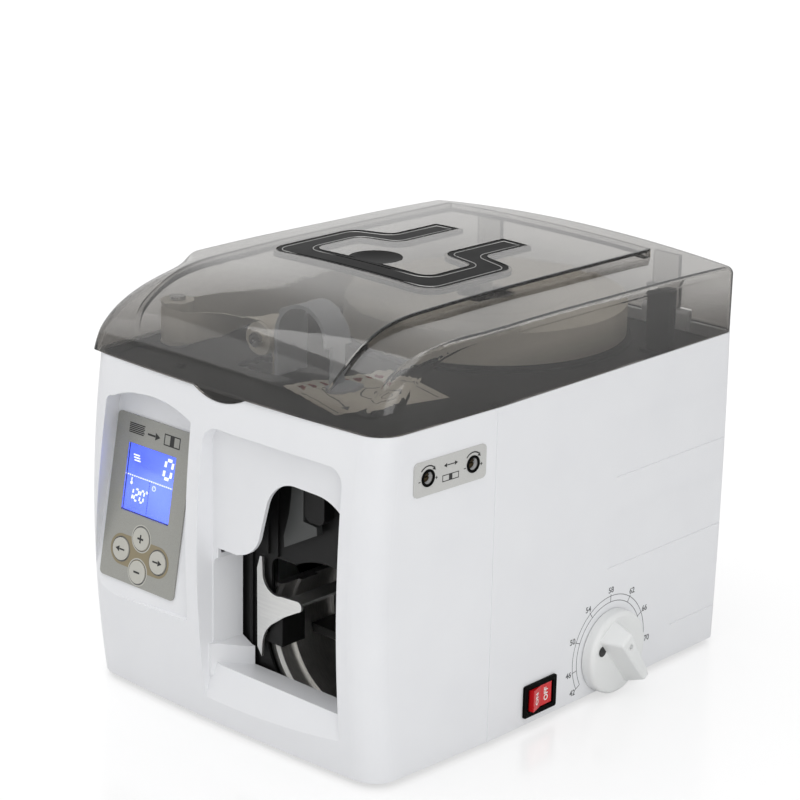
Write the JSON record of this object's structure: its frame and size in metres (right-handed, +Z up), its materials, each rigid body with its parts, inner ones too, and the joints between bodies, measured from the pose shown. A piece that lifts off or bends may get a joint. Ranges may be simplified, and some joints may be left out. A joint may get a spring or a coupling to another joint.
{
  "type": "banknote strapping machine",
  "caption": "Desktop machine that wraps and welds a paper band round a stack of notes, with a clear lid over the band roll.",
  "frame": {"origin": "centre of the bounding box in plan, on the surface the feet rest on", "axes": "+Z up, -Y towards the operator (the note pocket faces -Y), +X to the operator's right (the dial side)"},
  "size_m": [0.273, 0.3308, 0.2655],
  "materials": {
    "white_gloss": "moulded, satin gloss, faint texture",
    "smoke_clear": "clear smoky plastic, polished",
    "black_gloss": "polished black",
    "black_matt": "moulded, fine grain",
    "grey_plastic": "moulded grey",
    "silver_plate": "silver-grey film on sheet",
    "display_blue": "tinted window",
    "display_cell": "lit cell behind the window",
    "key_grey": "moulded key",
    "red_gloss": "moulded red",
    "knob_white": "moulded, satin",
    "steel": "bright steel",
    "zinc_sheet": "zinc-plated sheet",
    "cast_track": "machined and polished",
    "pale_sheet": "satin anodised",
    "brass": "turned brass",
    "rubber": "matt black rubber",
    "paper": "kraft paper band",
    "board_green": "printed circuit board",
    "motor_metal": "plated motor can",
    "nylon": "natural nylon"
  },
  "bodies": {
    "casing": {"front_bezel": "white_gloss", "rear_housing": "white_gloss", "base_plate": "zinc_sheet", "rubber_feet": "rubber", "deck_plate": "black_matt", "hinge_pins": "steel", "reel_spindle": "steel", "reel_cap": "black_matt", "corner_post": "steel", "band_arch": "steel", "guide_axle": "steel", "paper_band": "paper", "deck_post": "black_matt", "control_plate": "silver_plate", "display_window": "display_blue", "display_module": "display_cell", "control_board": "board_green", "tension_plate": "silver_plate", "adjuster_block": "black_matt", "rocker_bezel": "black_gloss", "stop_rail": "zinc_sheet", "mains_inlet": "black_matt", "frame_front": "zinc_sheet", "frame_rear": "zinc_sheet", "frame_ties": "steel", "entry_ring": "cast_track", "band_track": "cast_track", "front_apron": "black_matt", "weld_tongue": "pale_sheet", "upper_guide": "grey_plastic", "press_motor": "motor_metal", "feed_motor": "motor_metal", "jaw_guide": "black_matt", "press_guide": "steel", "main_board": "board_green", "transformer": "motor_metal"},
    "lid": {"lid": "smoke_clear", "lid_trim": "black_gloss"},
    "reel": {"reel_turntable": "black_matt", "paper_roll": "paper"},
    "corner_roller": {"corner_roller": "nylon"},
    "guide_roller": {"guide_roller": "nylon"},
    "feed_roller": {"feed_roller": "rubber", "feed_gear": "nylon"},
    "motor_pinion": {"motor_pinion": "brass"},
    "pinch_roller": {"pinch_roller": "steel"},
    "plus_button": {"plus_button": "key_grey"},
    "minus_button": {"minus_button": "key_grey"},
    "left_button": {"left_button": "key_grey"},
    "right_button": {"right_button": "key_grey"},
    "adjuster_front": {"adjuster_front": "brass"},
    "adjuster_rear": {"adjuster_rear": "brass"},
    "rocker": {"rocker": "red_gloss"},
    "dial": {"dial_knob": "knob_white", "dial_shaft": "steel"},
    "note_stop": {"note_stop": "grey_plastic"},
    "press_head": {"press_head": "black_matt"},
    "press_pinion": {"press_pinion": "steel"},
    "heater": {"heater_block": "steel"},
    "cutter": {"cutter_blade": "steel"}
  },
  "joints": [
    {"name": "lid_hinge", "type": "hinge", "parent": "casing", "child": "lid", "pos_m": [-0.0115, 0.15939, 0.2136], "axis": [-1, 0, 0], "range_deg": [0, 85]},
    {"name": "reel_spin", "type": "hinge", "parent": "casing", "child": "reel", "pos_m": [-0.0075, 0.06454, 0.213], "axis": [0, 0, 1], "continuous": true},
    {"name": "corner_spin", "type": "hinge", "parent": "casing", "child": "corner_roller", "pos_m": [-0.1169, -0.09546, 0.218], "axis": [0, 0, 1], "continuous": true},
    {"name": "guide_spin", "type": "hinge", "parent": "casing", "child": "guide_roller", "pos_m": [-0.0425, -0.08746, 0.224], "axis": [0, 1, 0], "continuous": true},
    {"name": "feed_spin", "type": "hinge", "parent": "casing", "child": "feed_roller", "pos_m": [-0.0226, -0.08746, 0.175], "axis": [0, -1, 0], "continuous": true},
    {"name": "pinion_spin", "type": "hinge", "parent": "casing", "child": "motor_pinion", "pos_m": [0.0074, -0.06646, 0.175], "axis": [0, 1, 0], "continuous": true},
    {"name": "pinch_spin", "type": "hinge", "parent": "casing", "child": "pinch_roller", "pos_m": [-0.0415, -0.08746, 0.175], "axis": [0, 1, 0], "continuous": true},
    {"name": "plus_press", "type": "slide", "parent": "casing", "child": "plus_button", "axis": [0, 0.9848, -0.1736], "range_m": [0, 0.001], "stiffness_N_per_m": 1500, "springref_m": -0.0004},
    {"name": "minus_press", "type": "slide", "parent": "casing", "child": "minus_button", "axis": [0, 0.9848, -0.1736], "range_m": [0, 0.001], "stiffness_N_per_m": 1500, "springref_m": -0.0004},
    {"name": "left_press", "type": "slide", "parent": "casing", "child": "left_button", "axis": [0, 0.9848, -0.1736], "range_m": [0, 0.001], "stiffness_N_per_m": 1500, "springref_m": -0.0004},
    {"name": "right_press", "type": "slide", "parent": "casing", "child": "right_button", "axis": [0, 0.9848, -0.1736], "range_m": [0, 0.001], "stiffness_N_per_m": 1500, "springref_m": -0.0004},
    {"name": "front_adjust", "type": "hinge", "parent": "casing", "child": "adjuster_front", "pos_m": [0.10223, -0.11802, 0.181], "axis": [0.9986, -0.0524, 0], "range_deg": [-135, 135]},
    {"name": "rear_adjust", "type": "hinge", "parent": "casing", "child": "adjuster_rear", "pos_m": [0.10409, -0.08247, 0.181], "axis": [0.9986, -0.0524, 0], "range_deg": [-135, 135]},
    {"name": "rocker_tilt", "type": "hinge", "parent": "casing", "child": "rocker", "pos_m": [0.1095, -0.01696, 0.018], "axis": [0, 0, 1], "range_deg": [-18, 0]},
    {"name": "dial_turn", "type": "hinge", "parent": "casing", "child": "dial", "pos_m": [0.0885, 0.04954, 0.028], "axis": [1, 0, 0], "range_deg": [-90, 90]},
    {"name": "stop_travel", "type": "slide", "parent": "casing", "child": "note_stop", "axis": [0, 1, 0], "range_m": [-0.0145, 0.0145]},
    {"name": "press_travel", "type": "slide", "parent": "casing", "child": "press_head", "axis": [0, 0, -1], "range_m": [0, 0.018]},
    {"name": "press_pinion_turn", "type": "hinge", "parent": "casing", "child": "press_pinion", "pos_m": [0.0645, -0.08746, 0.161], "axis": [0, 1, 0], "range_deg": [-105, 5]},
    {"name": "heater_lift", "type": "slide", "parent": "casing", "child": "heater", "axis": [0, 0, 1], "range_m": [0, 0.005]},
    {"name": "cutter_lift", "type": "slide", "parent": "casing", "child": "cutter", "axis": [0, 0, 1], "range_m": [0, 0.006]}
  ],
  "couplings": [
    {"joint": "feed_spin", "follows": "reel_spin", "ratio": 9.7752},
    {"joint": "pinion_spin", "follows": "reel_spin", "ratio": 29.326},
    {"joint": "pinch_spin", "follows": "reel_spin", "ratio": 9.7752},
    {"joint": "guide_spin", "follows": "reel_spin", "ratio": 8.7977},
    {"joint": "corner_spin", "follows": "reel_spin", "ratio": 9.261},
    {"joint": "stop_travel", "follows": "dial_turn", "m_per_rad": -0.009},
    {"joint": "press_pinion_turn", "follows": "press_travel", "rad_per_m": -100}
  ]
}
